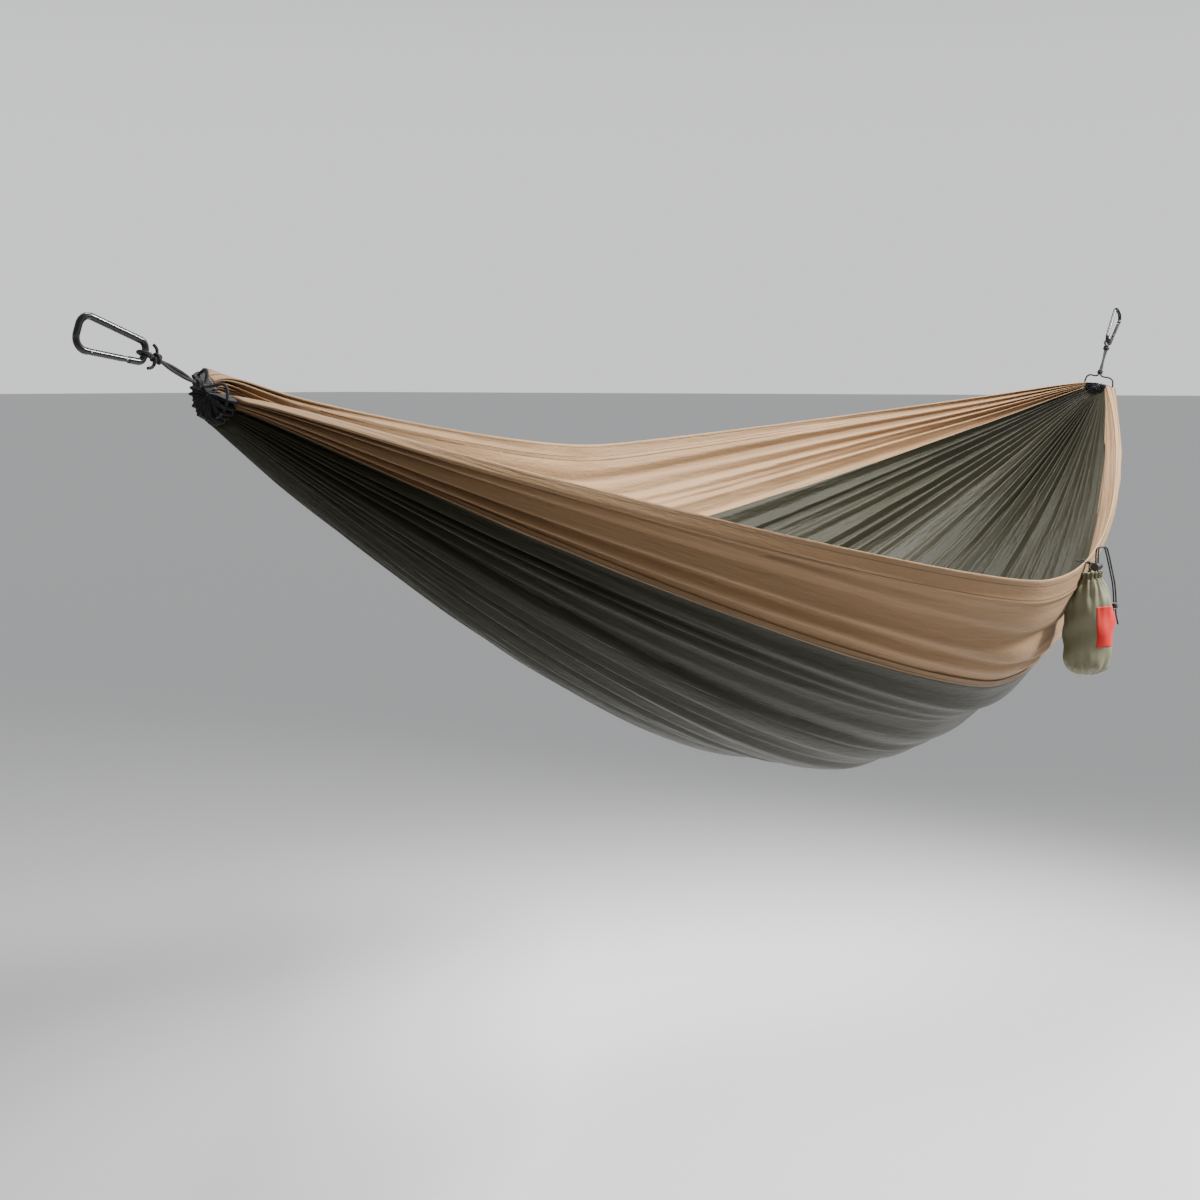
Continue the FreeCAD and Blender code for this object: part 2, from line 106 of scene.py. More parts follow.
def add(tree, kind, **inputs):
    node = tree.nodes.new(kind)
    for key, value in inputs.items():
        if isinstance(value, bpy.types.NodeSocket):
            tree.links.new(value, node.inputs[key])
        else:
            node.inputs[key].default_value = value
    return node


def math_node(tree, operation, a, b=0.0, c=0.0):
    node = tree.nodes.new("ShaderNodeMath")
    node.operation = operation
    for index, value in enumerate((a, b, c)):
        if isinstance(value, bpy.types.NodeSocket):
            tree.links.new(value, node.inputs[index])
        else:
            node.inputs[index].default_value = value
    return node.outputs[0]


def mapped(tree, output, scale):
    node = tree.nodes.new("ShaderNodeMapping")
    node.inputs["Scale"].default_value = scale
    tree.links.new(output, node.inputs["Vector"])
    return node.outputs[0]


def bump(tree, bsdf, height, strength, distance, under=None):
    node = tree.nodes.new("ShaderNodeBump")
    node.inputs["Strength"].default_value = strength
    node.inputs["Distance"].default_value = distance
    tree.links.new(height, node.inputs["Height"])
    if under is not None:
        tree.links.new(under, node.inputs["Normal"])
    tree.links.new(node.outputs[0], bsdf.inputs["Normal"])
    return node.outputs[0]


THREADS = 260.0
STITCH_HALF_WIDTH, STITCH_SHARE = 0.00055, 0.72


def nylon(name, color, rough=0.60, sheen=0.03, crease=0.0022, lines=()):
    # woven nylon; UVs are close to metres, U along the cloth, V across it
    mat, tree, bsdf = node_material(name, color, rough, sheen=sheen)
    bsdf.inputs["Specular IOR Level"].default_value = 0.12
    uv = tree.nodes.new("ShaderNodeUVMap").outputs[0]
    large = add(tree, "ShaderNodeTexNoise", Vector=mapped(tree, uv, (2.2, 14.0, 1.0)),
                Scale=1.6, Detail=5.0, Roughness=0.55)
    small = add(tree, "ShaderNodeTexNoise", Vector=mapped(tree, uv, (22.0, 60.0, 1.0)),
                Scale=2.2, Detail=4.0, Roughness=0.6)
    weave_u = add(tree, "ShaderNodeTexWave", Vector=mapped(tree, uv, (1.0, 0.0, 0.0)),
                  Scale=THREADS)
    weave_v = add(tree, "ShaderNodeTexWave", Vector=mapped(tree, uv, (0.0, 1.0, 0.0)),
                  Scale=THREADS)
    weave_v.bands_direction = "Y"
    first = bump(tree, bsdf, large.outputs["Fac"], 0.75, crease * 4.0)
    second = bump(tree, bsdf, small.outputs["Fac"], 0.5, crease, first)
    threads = math_node(tree, "MULTIPLY", weave_u.outputs["Fac"], weave_v.outputs["Fac"])
    last = bump(tree, bsdf, threads, 0.2, 0.0003, second)
    # painted shade and light: the colour follows the same large noise as the wrinkle bump, darker where
    # the wrinkles are low and lighter where they are raised
    wrinkle_shade = tree.nodes.new("ShaderNodeMix")
    wrinkle_shade.data_type = "RGBA"
    wrinkle_shade_ramp = tree.nodes.new("ShaderNodeMapRange")
    tree.links.new(large.outputs["Fac"], wrinkle_shade_ramp.inputs["Value"])
    wrinkle_shade_ramp.inputs["From Min"].default_value = 0.3
    wrinkle_shade_ramp.inputs["From Max"].default_value = 0.7
    tree.links.new(wrinkle_shade_ramp.outputs[0], wrinkle_shade.inputs[0])
    wrinkle_shade.inputs[6].default_value = (*[channel * 0.9 for channel in color], 1.0)
    wrinkle_shade.inputs[7].default_value = (*[channel * 1.08 for channel in color], 1.0)
    surface = wrinkle_shade.outputs[2]
    if lines:
        surface, height = stitched(tree, uv, surface, lines)
        bump(tree, bsdf, height, 0.8, 0.0012, last)
    tree.links.new(surface, bsdf.inputs["Base Color"])
    return mat


def stitched(tree, uv, surface, lines):
    # dashed thread lines at the given places across the strip: (v, thread colour, pitch)
    split = add(tree, "ShaderNodeSeparateXYZ", Vector=uv)
    u, v = split.outputs[0], split.outputs[1]
    total = None
    for place, color, pitch in lines:
        offset = math_node(tree, "ABSOLUTE", math_node(tree, "SUBTRACT", v, place))
        across = math_node(tree, "LESS_THAN", offset, STITCH_HALF_WIDTH)
        phase = math_node(tree, "FRACT", math_node(tree, "MULTIPLY", u, 1.0 / pitch))
        along = math_node(tree, "LESS_THAN", phase, STITCH_SHARE)
        mask = math_node(tree, "MULTIPLY", across, along)
        mix = tree.nodes.new("ShaderNodeMix")
        mix.data_type = "RGBA"
        tree.links.new(mask, mix.inputs[0])
        tree.links.new(surface, mix.inputs[6])
        mix.inputs[7].default_value = (*color, 1.0)
        surface = mix.outputs[2]
        total = mask if total is None else math_node(tree, "ADD", total, mask)
    return surface, total


def cord_material(name, color, pitch=0.004, turns=6.0):
    # braided cover; UVs: U metres along, V turns around
    mat, tree, bsdf = node_material(name, color, 0.80, sheen=0.05)
    uv = tree.nodes.new("ShaderNodeUVMap").outputs[0]
    split = add(tree, "ShaderNodeSeparateXYZ", Vector=uv)
    along = math_node(tree, "MULTIPLY", split.outputs[0], 2.0 * math.pi / pitch)
    around = math_node(tree, "MULTIPLY", split.outputs[1], 2.0 * math.pi * turns)
    one = math_node(tree, "SINE", math_node(tree, "ADD", along, around))
    two = math_node(tree, "SINE", math_node(tree, "SUBTRACT", along, around))
    height = math_node(tree, "MULTIPLY", one, two)
    bump(tree, bsdf, height, 0.7, 0.0005)
    return mat


TAN = (0.245, 0.150, 0.078)
OLIVE = (0.0200, 0.0190, 0.0100)
BLACK = (0.012, 0.012, 0.013)
tan = nylon("tan_nylon_cloth", TAN)
olive = nylon("olive_nylon_cloth", OLIVE, rough=0.5)
thread = (0.05, 0.042, 0.03)
STITCH_PITCH = 0.0035
hem_mat = nylon("tan_hem_cloth", TAN, lines=((0.006, thread, STITCH_PITCH), (0.027, thread, STITCH_PITCH)))
seam_mat = nylon("seam_cloth", (0.20, 0.125, 0.066),
                 lines=((0.003, thread, STITCH_PITCH), (0.010, thread, STITCH_PITCH)))
black = nylon("black_channel_cloth", BLACK, rough=0.6, crease=0.0008,
              lines=((0.0045, (0.35, 0.26, 0.17), STITCH_PITCH),))
sack_cloth = nylon("sack_cloth", (0.165, 0.160, 0.100), rough=0.6, crease=0.0010)
cord_mat = cord_material("black_cord_braid", (0.016, 0.016, 0.017))
metal = node_material("black_anodised", (0.020, 0.020, 0.022), 0.26,
                      metallic=0.75, coat=0.4)[0]
steel = node_material("pin_steel", (0.50, 0.50, 0.50), 0.3, metallic=1.0)[0]
plastic = node_material("lock_black_plastic", (0.014, 0.014, 0.015), 0.38, coat=0.15)[0]


# ------------------------------------------------------------------ mesh helpers

def mesh_object(name, vertices, faces, material, uvs):
    mesh = bpy.data.meshes.new(name)
    mesh.from_pydata([tuple(map(float, v)) for v in vertices], [], faces)
    mesh.materials.append(material)
    layer = mesh.uv_layers.new(name="UVMap")
    index = np.empty(len(mesh.loops), dtype=np.int32)
    mesh.loops.foreach_get("vertex_index", index)
    layer.data.foreach_set("uv", np.asarray(uvs, dtype=np.float32)[index].ravel())
    mesh.polygons.foreach_set("use_smooth", [True] * len(mesh.polygons))
    mesh.update()
    obj = bpy.data.objects.new(name, mesh)
    bpy.context.scene.collection.objects.link(obj)
    return obj


def grid_faces(rows, columns):
    faces = []
    for i in range(rows - 1):
        for j in range(columns - 1):
            here, above = i * columns + j, (i + 1) * columns + j
            faces.append((here, here + 1, above + 1, above))
    return faces


def grid_object(name, points, material, uvs):
    rows, columns = points.shape[:2]
    return mesh_object(name, points.reshape(-1, 3), grid_faces(rows, columns), material,
                       uvs.reshape(-1, 2))


def thicken(obj, thickness, offset=1.0):
    modifier = obj.modifiers.new("thickness", "SOLIDIFY")
    modifier.thickness = thickness
    modifier.offset = offset
    modifier.use_even_offset = False


def frames_along(path):
    # a direction and two side vectors at every point, turning as little as they can
    path = np.asarray(path, dtype=float)
    heading = np.gradient(path, axis=0)
    heading /= np.linalg.norm(heading, axis=1)[:, None]
    side = np.zeros_like(path)
    seed = np.array([0.0, 1.0, 0.0]) if abs(heading[0][1]) < 0.9 else np.array([1.0, 0.0, 0.0])
    current = seed - heading[0] * seed.dot(heading[0])
    for i in range(len(path)):
        current = current - heading[i] * current.dot(heading[i])
        current /= np.linalg.norm(current)
        side[i] = current
    return heading, side, np.cross(heading, side)


TUBE_SIDES, CAP_BULGE = 14, 0.35


def tube(name, path, radius, material, caps=True):
    path = np.asarray(path, dtype=float)
    heading, side, other = frames_along(path)
    turn = np.linspace(0.0, 2.0 * math.pi, TUBE_SIDES + 1)
    ring = (np.cos(turn)[None, :, None] * side[:, None, :]
            + np.sin(turn)[None, :, None] * other[:, None, :])
    points = path[:, None, :] + ring * radius
    length = np.concatenate([[0.0], np.cumsum(np.linalg.norm(np.diff(path, axis=0), axis=1))])
    uvs = np.stack(np.broadcast_arrays(length[:, None], (turn / (2.0 * math.pi))[None, :]),
                   axis=-1)
    rows, columns = points.shape[:2]
    vertices = list(points.reshape(-1, 3))
    faces = grid_faces(rows, columns)
    coords = list(uvs.reshape(-1, 2))
    if caps:
        for row, sign in ((0, -1.0), (rows - 1, 1.0)):
            centre = len(vertices)
            vertices.append(path[row] + heading[row] * radius * CAP_BULGE * sign)
            coords.append((length[row], 0.5))
            for j in range(columns - 1):
                a, b = row * columns + j, row * columns + j + 1
                faces.append((a, b, centre) if sign > 0 else (b, a, centre))
    obj = mesh_object(name, vertices, faces, material, coords)
    weld = obj.modifiers.new("weld", "WELD")
    weld.merge_threshold = 1e-6
    return obj


def nurbs_route(points, steps=12):
    # the smooth line that a route's control points pull towards them
    curve = bpy.data.curves.new("route", "CURVE")
    curve.dimensions = "3D"
    curve.resolution_u = steps
    spline = curve.splines.new("NURBS")
    spline.points.add(len(points) - 1)
    for point, place in zip(spline.points, points):
        point.co = (*place, 1.0)
    spline.order_u = 3
    spline.use_endpoint_u = True
    temp = bpy.data.objects.new("route", curve)
    mesh = bpy.data.meshes.new_from_object(temp)
    line = np.array([v.co[:] for v in mesh.vertices])
    bpy.data.objects.remove(temp)
    bpy.data.meshes.remove(mesh)
    bpy.data.curves.remove(curve)
    return line


# ------------------------------------------------------------------ the cloth

def ease(x):
    x = np.clip(x, 0.0, 1.0)
    return x * x * (3.0 - 2.0 * x)


def pleat_set(count, seed):
    # one end's pleats: uneven cells across the cloth, each with its own height and reach
    draw = np.random.default_rng(seed)
    shifts = np.concatenate([[0.0], draw.uniform(-0.28, 0.28, count - 1), [0.0]])
    edges = (np.arange(count + 1) + shifts) / count
    return {
        "edges": edges,
        "tall": draw.uniform(0.55, 1.25, count),
        "reach": draw.uniform(0.16, 0.62, count),
        "lean": draw.uniform(0.32, 0.68, count),
        "sharp": draw.uniform(0.75, 1.35, count),
    }


LEFT_PLEATS, RIGHT_PLEATS = pleat_set(PLEATS, 11), pleat_set(PLEATS, 23)


def pleat_height(pleats, distance, across):
    # about -1 in a valley and +1 on a ridge, fading to PLEAT_FLOOR past each pleat's reach
    edges = pleats["edges"]
    across = across + 0.005 * ease(distance / 0.3) * np.sin(8.0 * distance + 11.0 * across)
    cell = np.clip(np.searchsorted(edges, across, side="right") - 1, 0, len(edges) - 2)
    inside = (across - edges[cell]) / (edges[cell + 1] - edges[cell])
    lean = pleats["lean"][cell]
    rise = np.where(inside < lean, inside / lean, (1.0 - inside) / (1.0 - lean))
    shape = 2.0 * np.clip(rise, 0.0, 1.0) ** pleats["sharp"][cell] - 1.0
    reach = pleats["reach"][cell]
    fade = 1.0 - ease((distance - 0.25 * reach) / reach)
    near_end = 1.0 - ease(distance / 0.10)
    tall = near_end + pleats["tall"][cell] * (1.0 - near_end)
    return shape * tall * (PLEAT_FLOOR + (1.0 - PLEAT_FLOOR) * fade)


def wrap_fade(distance):
    return 0.8 * np.exp(-distance / 0.03) + 0.2 * np.exp(-distance / 0.14)


def crease(t, place, deep):
    # a ledge in the cloth: it stands out above the line and drops back at it
    past = t - place
    step = 1.0 + np.exp(-np.clip(past / 0.0010, -40.0, 40.0))
    return deep * np.exp(-np.clip(past, 0.0, 1.0) / 0.020) / step


def cloth(u, t, lift=0.0):
    # points of the cloth; u runs along the chord and t across the cloth, both 0 to 1
    u, t = np.broadcast_arrays(np.asarray(u, float), np.asarray(t, float))
    angle = -FAR_ANGLE + t * (FAR_ANGLE + NEAR_ANGLE)
    near = np.clip(angle / NEAR_ANGLE, 0.0, 1.0)
    far = np.clip(-angle / FAR_ANGLE, 0.0, 1.0)
    drop = (MIDDLE_DROP + (NEAR_DROP - MIDDLE_DROP) * ease(near)
            + (FAR_DROP - MIDDLE_DROP) * ease(far))
    low = MIDDLE_LOW + (NEAR_LOW - MIDDLE_LOW) * near + (FAR_LOW - MIDDLE_LOW) * far
    full = MIDDLE_FULL + (NEAR_FULL - MIDDLE_FULL) * near + (FAR_FULL - MIDDLE_FULL) * far
    side = np.where(u < low, np.clip(low - u, 0, 1) / low,
                    np.clip(u - low, 0, 1) / (1.0 - low))
    side = np.sqrt(side * side + VALLEY_ROUNDING ** 2) - VALLEY_ROUNDING * (1.0 - side)
    reach = 1.0 - np.clip(side, 0.0, 1.0) ** full
    bunch = LEFT_RADIUS + (RIGHT_RADIUS - LEFT_RADIUS) * u
    radius = bunch + (drop - bunch) * reach
    width = radius * (NEAR_ANGLE + FAR_ANGLE)
    left_fade, right_fade = wrap_fade(u), wrap_fade(1.0 - u)
    angle = (angle - far * (LEFT_WRAP[0] * left_fade + RIGHT_WRAP[0] * right_fade)
             + near * (LEFT_WRAP[1] * left_fade + RIGHT_WRAP[1] * right_fade))
    slack = np.sqrt(np.maximum(CLOTH_WIDTH ** 2 - width ** 2, 0.0)) / (4.0 * PLEATS)
    left = pleat_height(LEFT_PLEATS, u, t)
    right = pleat_height(RIGHT_PLEATS, 1.0 - u, t)
    hand = ease((u - HANDOVER_START) / HANDOVER_LONG)
    edge = np.minimum(t, 1.0 - t)
    calm = EDGE_CALM + (1.0 - EDGE_CALM) * ease(edge / 0.090)
    calm = calm + (1.0 - calm) * (1.0 - ease(np.minimum(u, 1.0 - u) / 0.10))
    folds = slack * (left * (1.0 - hand) + right * hand) * calm
    middle = np.sin(math.pi * np.clip(u, 0, 1)) ** 2
    soft = middle * (
        0.0040 * np.sin(9.0 * t * math.pi + 2.6 * u + 0.4)
        + 0.0035 * np.sin(17.0 * t * math.pi - 5.0 * u + 1.1)
        + 0.0025 * np.sin(31.0 * t * math.pi + 3.0 * u))
    for line, start, stop, deep in NEAR_CREASES:
        window = ease((u - start) / 0.14) * ease((stop - u) / 0.14)
        soft = soft + window * crease(t, line[0] + line[1] * u, deep)
    for line, start, stop, deep in FAR_CREASES:
        window = ease((u - start) / 0.14) * ease((stop - u) / 0.14)
        soft = soft + window * crease(-t, -(line[0] + line[1] * u), deep)
    soft = soft * np.where(edge < 0.02, 0.3, 1.0)
    radius = radius + folds + soft + lift
    return np.stack([
        LEFT[0] + CHORD * u,
        -radius * np.sin(angle),
        LEFT[2] + CHORD_RISE * u - radius * np.cos(angle)], axis=-1)


u_count = 260
per_pleat = 12
spacing = np.linspace(0.0, 1.0, u_count)
along = spacing - ROW_CROWDING * np.sin(2.0 * math.pi * spacing) / (2.0 * math.pi)


def strip(name, first, last, material, lift=0.0, least=5, thickness=CLOTH_THICK):
    columns = max(least, int(round((last - first) * PLEATS * per_pleat)))
    across = np.linspace(first, last, columns)
    points = cloth(along[:, None], across[None, :], lift)
    uvs = np.broadcast_arrays(along[:, None] * CLOTH_LENGTH,
                              (across[None, :] - first) * CLOTH_WIDTH * UV_WIDTH_SHARE)
    obj = grid_object(name, points, material, np.stack(uvs, axis=-1))
    thicken(obj, thickness, 0.0)
    return obj


far_edge_hem = strip("far_hem_band", 0.0, HEM, hem_mat, HEM_LIFT, BAND_COLUMNS, BAND_THICK)
far_panel = strip("far_side_cloth", PANEL_INSET, FAR_SEAM, tan)
far_seam_tape = strip("far_seam_tape", FAR_SEAM - SEAM / 2, FAR_SEAM + SEAM / 2, seam_mat,
                      TAPE_LIFT, BAND_COLUMNS, BAND_THICK)
centre_cloth = strip("centre_cloth", FAR_SEAM, NEAR_SEAM, olive)
near_seam_tape = strip("near_seam_tape", NEAR_SEAM - SEAM / 2, NEAR_SEAM + SEAM / 2, seam_mat,
                       TAPE_LIFT, BAND_COLUMNS, BAND_THICK)
near_panel = strip("near_side_cloth", NEAR_SEAM, 1.0 - PANEL_INSET, tan)
near_edge_hem = strip("near_hem_band", 1.0 - HEM, 1.0, hem_mat, HEM_LIFT, BAND_COLUMNS, BAND_THICK)


def join(name, parts):
    # several meshes made one piece
    depsgraph = bpy.context.evaluated_depsgraph_get()
    merged = bmesh.new()
    for part in parts:
        evaluated = part.evaluated_get(depsgraph)
        merged.from_mesh(bpy.data.meshes.new_from_object(evaluated))
    mesh = bpy.data.meshes.new(name)
    merged.to_mesh(mesh)
    merged.free()
    mesh.materials.append(parts[0].data.materials[0])
    mesh.polygons.foreach_set("use_smooth", [True] * len(mesh.polygons))
    obj = bpy.data.objects.new(name, mesh)
    bpy.context.scene.collection.objects.link(obj)
    for part in parts:
        bpy.data.objects.remove(part)
    return obj


def casing(name, end, outward, share, teeth):
    # the black channel past the last row: thicker cloth, so its pleats are fewer and deeper
    columns = teeth * 16 + 1
    across = np.linspace(0.0, 1.0, columns)
    side = 0 if outward < 0 else 1
    wrap = (LEFT_WRAP, RIGHT_WRAP)[side]
    first, last = -FAR_ANGLE - wrap[0], NEAR_ANGLE + wrap[1]
    angle = first + (last - first) * across
    radius = share * (LEFT_RADIUS, RIGHT_RADIUS)[side]
    draw = np.random.default_rng(5 + side)
    cell = np.minimum((across * teeth).astype(int), teeth - 1)
    inside = across * teeth - cell
    ridge = 1.0 - np.abs(2.0 * inside - 1.0) ** 1.6
    tall = draw.uniform(0.75, 1.2, teeth)[cell]
    long = draw.uniform(-0.004, 0.003, teeth)[cell] * ridge
    points, uvs = [], []
    for s in np.linspace(0.0, 1.0, 16):
        x = outward * (s * (0.0225 + long) - 0.004)
        swell = (0.0060 * math.sin(math.pi * min(1.0, 0.25 + 0.62 * s))) * tall
        inward = (0.45 + 0.25 * s) * radius * (1.0 - ridge) * tall
        place = (radius + ridge * swell - np.minimum(inward, 0.85 * radius)
                 + 0.0015 * math.sin(5.0 * s))
        points.append(np.stack([end[0] + x, -place * np.sin(angle),
                                end[2] - place * np.cos(angle)], axis=-1))
        uvs.append(np.stack([across * 0.9, np.full(columns, s * 0.024)], axis=-1))
    obj = grid_object(name, np.array(points), black, np.array(uvs))
    thicken(obj, BAND_THICK, 0.0)
    return obj


# an outer turn and two folds inside it, each a share of the bunch's radius with its own pleats
left_channel = join("left_end_channel", [
    casing("c", LEFT, -1.0, share, teeth) for share, teeth in ((1.0, 15), (0.62, 9), (0.34, 6))])
right_channel = join("right_end_channel", [
    casing("c", RIGHT, 1.0, share, teeth) for share, teeth in ((1.0, 15), (0.66, 9), (0.38, 6))])
for piece in (far_edge_hem, far_panel, far_seam_tape, centre_cloth, near_seam_tape, near_panel,
              near_edge_hem, left_channel, right_channel):
    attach(piece, "bed")
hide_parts("far_hem")
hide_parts("near_hem")
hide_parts("far_side_panel")
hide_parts("near_side_panel")
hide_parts("centre_panel")
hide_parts("far_seam")
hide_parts("near_seam")
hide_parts("left_casing")
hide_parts("right_casing")


# ------------------------------------------------------------------ ropes and knots at the ends

Y = np.array([0.0, 1.0, 0.0])
CORD = 0.004
ROPE_APART = 0.0021  # half the distance between a pair's centre lines
ROD_REACH, ROD_LIFT = 0.09225, 0.006  # from the anchor to the carabiner's lower rod
TIE_START, TIE_LONG = 0.011, 0.014  # the tie knot, measured on from the rod
KNOT_BACK, KNOT_LONG = 0.040, 0.012  # the gather knot, measured back from the cloth's end
KNOT_THICK = 0.0019
GATHER_POINTS = 9
GATHER_LEAD = math.radians(35.0)


def trefoil(centre, axis, size, turn):
    # the closed line of a drawn-up overhand knot about an axis
    axis = np.asarray(axis, float) / np.linalg.norm(axis)
    seed = Y if abs(axis[1]) < 0.9 else np.array([1.0, 0.0, 0.0])
    one = seed - axis * seed.dot(axis)
    one /= np.linalg.norm(one)
    two = np.cross(axis, one)
    phase = np.linspace(0.0, 2.0 * math.pi, 121)
    reach = (2.0 + np.cos(3.0 * phase)) * size
    return (np.asarray(centre)
            + (reach * np.cos(2.0 * phase + turn))[:, None] * one
            + (reach * np.sin(2.0 * phase + turn))[:, None] * two
            + (np.sin(3.0 * phase) * size * 1.05)[:, None] * axis)


def rope_line(start, finish, one, two, sign, count=40):
    # one strand of a pair, side by side at the knots and one above the other between them
    s = np.linspace(0.0, 1.0, count)[:, None]
    phase = 0.5 * math.pi * np.sin(math.pi * s)
    away = one * np.cos(phase) + two * np.sin(phase)
    return start + (finish - start) * s + ROPE_APART * sign * away


def end_ropes(side, anchor, pull, gather, outward):
    up = np.cross(Y, pull)
    up = up if up[2] > 0 else -up
    rod = anchor + pull * ROD_REACH + up * ROD_LIFT
    tie = rod + pull * TIE_START
    tie_end = tie + pull * TIE_LONG
    knot = anchor + pull * (REACH - KNOT_BACK)
    knot_end = knot + pull * KNOT_LONG
    ropes = []
    for name, sign in (("a", 1.0), ("b", -1.0)):
        piece = tube(side + "_rope_strand_" + name,
                     rope_line(tie_end - pull * 0.003, knot + pull * 0.003, Y, up, sign),
                     CORD / 2, cord_mat)
        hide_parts(side + "_rope_" + name)
        ropes.append(piece)
    half = ((0.011, 0.0026), (0.0076, 0.0026), (0.0056, 0.0076), (-0.0015, 0.0090),
            (-0.0074, 0.0046))
    route = [rod + pull * a + Y * b for a, b in half]
    route += [rod + pull * a - Y * b for a, b in reversed(half)]
    loop = tube(side + "_tie_loop_cord", nurbs_route(route, 14), CORD / 2, cord_mat)
    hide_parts(side + "_tie_loop")
    centre = tie + pull * TIE_LONG / 2
    tie_knot = join(side + "_tie_overhand_knot", [
        tube("k", trefoil(centre - pull * 0.0016, pull, 0.0019, 0.3), KNOT_THICK, cord_mat,
             caps=False),
        tube("k", trefoil(centre + pull * 0.0022, pull, 0.0019, 1.35), KNOT_THICK, cord_mat,
             caps=False)])
    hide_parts(side + "_tie_knot")
    tails = []
    for name, sign in (("a", 1.0), ("b", -1.0)):
        root = centre + up * 0.004 * sign
        line = nurbs_route([root, root + up * 0.005 * sign - pull * 0.001,
                            root + up * 0.009 * sign - pull * 0.004,
                            root + up * 0.0105 * sign - pull * 0.0085], 10)
        tail = tube(side + "_tie_end_" + name, line, CORD / 2, cord_mat)
        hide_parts(side + "_tie_tail_" + name)
        tails.append(tail)
    middle = knot + pull * KNOT_LONG / 2
    gather_knot = join(side + "_gather_overhand_knot", [
        tube("k", trefoil(middle - pull * 0.0014, pull, 0.0018, 0.9), KNOT_THICK, cord_mat,
             caps=False),
        tube("k", trefoil(middle + pull * 0.0018, pull, 0.0018, 2.0), KNOT_THICK, cord_mat,
             caps=False)])
    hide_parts(side + "_gather_knot")
    far_side, near_side = (LEFT_WRAP if outward < 0 else RIGHT_WRAP)
    first, last = -FAR_ANGLE - far_side, NEAR_ANGLE + near_side
    step = (last - first) / (GATHER_POINTS - 1)
    # control points further out than the circle, so that the line itself runs along it
    bunch = (LEFT_RADIUS if outward < 0 else RIGHT_RADIUS) + 0.0004
    radius = bunch * 3.0 / (2.0 + math.cos(step))
    angles = ([first - GATHER_LEAD] + [first + step * i for i in range(GATHER_POINTS)]
              + [last + GATHER_LEAD])
    ring = [gather + np.array([outward * 0.012, -radius * math.sin(a), -radius * math.cos(a)])
            for a in angles]
    shift = Y * ROPE_APART
    forward = knot_end + pull * 0.008
    route = ([knot_end - pull * 0.002 + shift, forward + shift] + ring
             + [forward - shift, knot_end - pull * 0.002 - shift])
    cord = tube(side + "_gathering_cord", nurbs_route(route, 12), CORD / 2, cord_mat)
    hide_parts(side + "_gather_cord")
    for piece in ropes + tails + [loop, tie_knot, gather_knot, cord]:
        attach(piece, "bed")


PULL_L = LEFT / np.linalg.norm(LEFT)
PULL_R = (RIGHT - ANCHOR_R) / np.linalg.norm(RIGHT - ANCHOR_R)
end_ropes("left", np.zeros(3), PULL_L, LEFT, -1.0)
end_ropes("right", ANCHOR_R, PULL_R, RIGHT, 1.0)


# ------------------------------------------------------------------ hard pieces keep their solids

def repaint(material, *names):
    for name in names:
        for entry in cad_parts[name].material_slots:
            entry.link = "OBJECT"
            entry.material = material


for side in ("left", "right"):
    repaint(metal, side + "_carabiner_frame", side + "_gate")
    repaint(steel, side + "_gate_hinge_pin", side + "_gate_nose_pin")
repaint(plastic, "cord_lock_barrel", "cord_lock_button")


# ------------------------------------------------------------------ storage sack

SACK_WIDE, SACK_DEEP, SACK_LONG = 0.046, 0.038, 0.150
MOUTH_LOW = -0.024
# the outline from the mouth to the bottom: share of the length, then of the width and depth
SHARES = (0.0, 0.09, 0.24, 0.45, 0.68, 0.86, 0.96, 1.0)
WIDE = (0.50, 0.74, 0.94, 1.0, 1.0, 0.97, 0.88, 0.62)
DEEP = (0.46, 0.70, 0.92, 1.0, 1.0, 0.96, 0.86, 0.60)
UV_PER_TURN = 0.034
tape_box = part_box("sack_tape")
HANG = np.array([(tape_box[0][0] + tape_box[1][0]) / 2,
                 (tape_box[0][1] + tape_box[1][1]) / 2,
                 tape_box[1][2] - 0.00265])


def smooth_curve(shares, values, at):
    # a rounded line through the stated widths
    fine = np.linspace(0.0, 1.0, 400)
    flat = np.interp(fine, shares, values)
    kernel = np.hanning(61)
    kernel /= kernel.sum()
    padded = np.pad(flat, 30, mode="reflect", reflect_type="odd")
    return np.interp(at, fine, np.convolve(padded, kernel, mode="valid"))


def sack_point(share, turn, lift=0.0):
    share, turn = np.broadcast_arrays(np.asarray(share, float), np.asarray(turn, float))
    wide = smooth_curve(SHARES, WIDE, np.clip(share, 0, 1)) * SACK_WIDE
    deep = smooth_curve(SHARES, DEEP, np.clip(share, 0, 1)) * SACK_DEEP
    top = np.exp(-share / 0.16)
    bottom = np.exp(-(1.0 - share) / 0.10)
    pleat = np.sin(15.0 * turn + 0.7 * np.sin(3.0 * turn)) * 0.0026 * top
    pleat = pleat + np.sin(12.0 * turn + 0.9 * np.sin(2.0 * turn) + 1.0) * 0.0022 * bottom
    soft = (0.0009 * np.sin(2.0 * turn + 9.0 * share)
            + 0.0009 * np.sin(5.0 * turn - 14.0 * share + 1.0))
    soft = soft + 0.0010 * np.sin(3.0 * turn + 21.0 * share + 2.0)
    seam = -0.0012 * np.exp(-(np.minimum(np.abs(turn), 2 * math.pi - np.abs(turn)) / 0.09) ** 2)
    reach = 1.0 + (pleat + soft + seam + lift - 0.0012) / np.maximum(deep, 0.008)
    x = wide * np.cos(turn) * reach
    y = deep * np.sin(turn) * reach
    z = MOUTH_LOW - share * SACK_LONG - 0.0008 * np.sin(4.0 * turn)
    return HANG + np.stack([x, y, z], axis=-1)


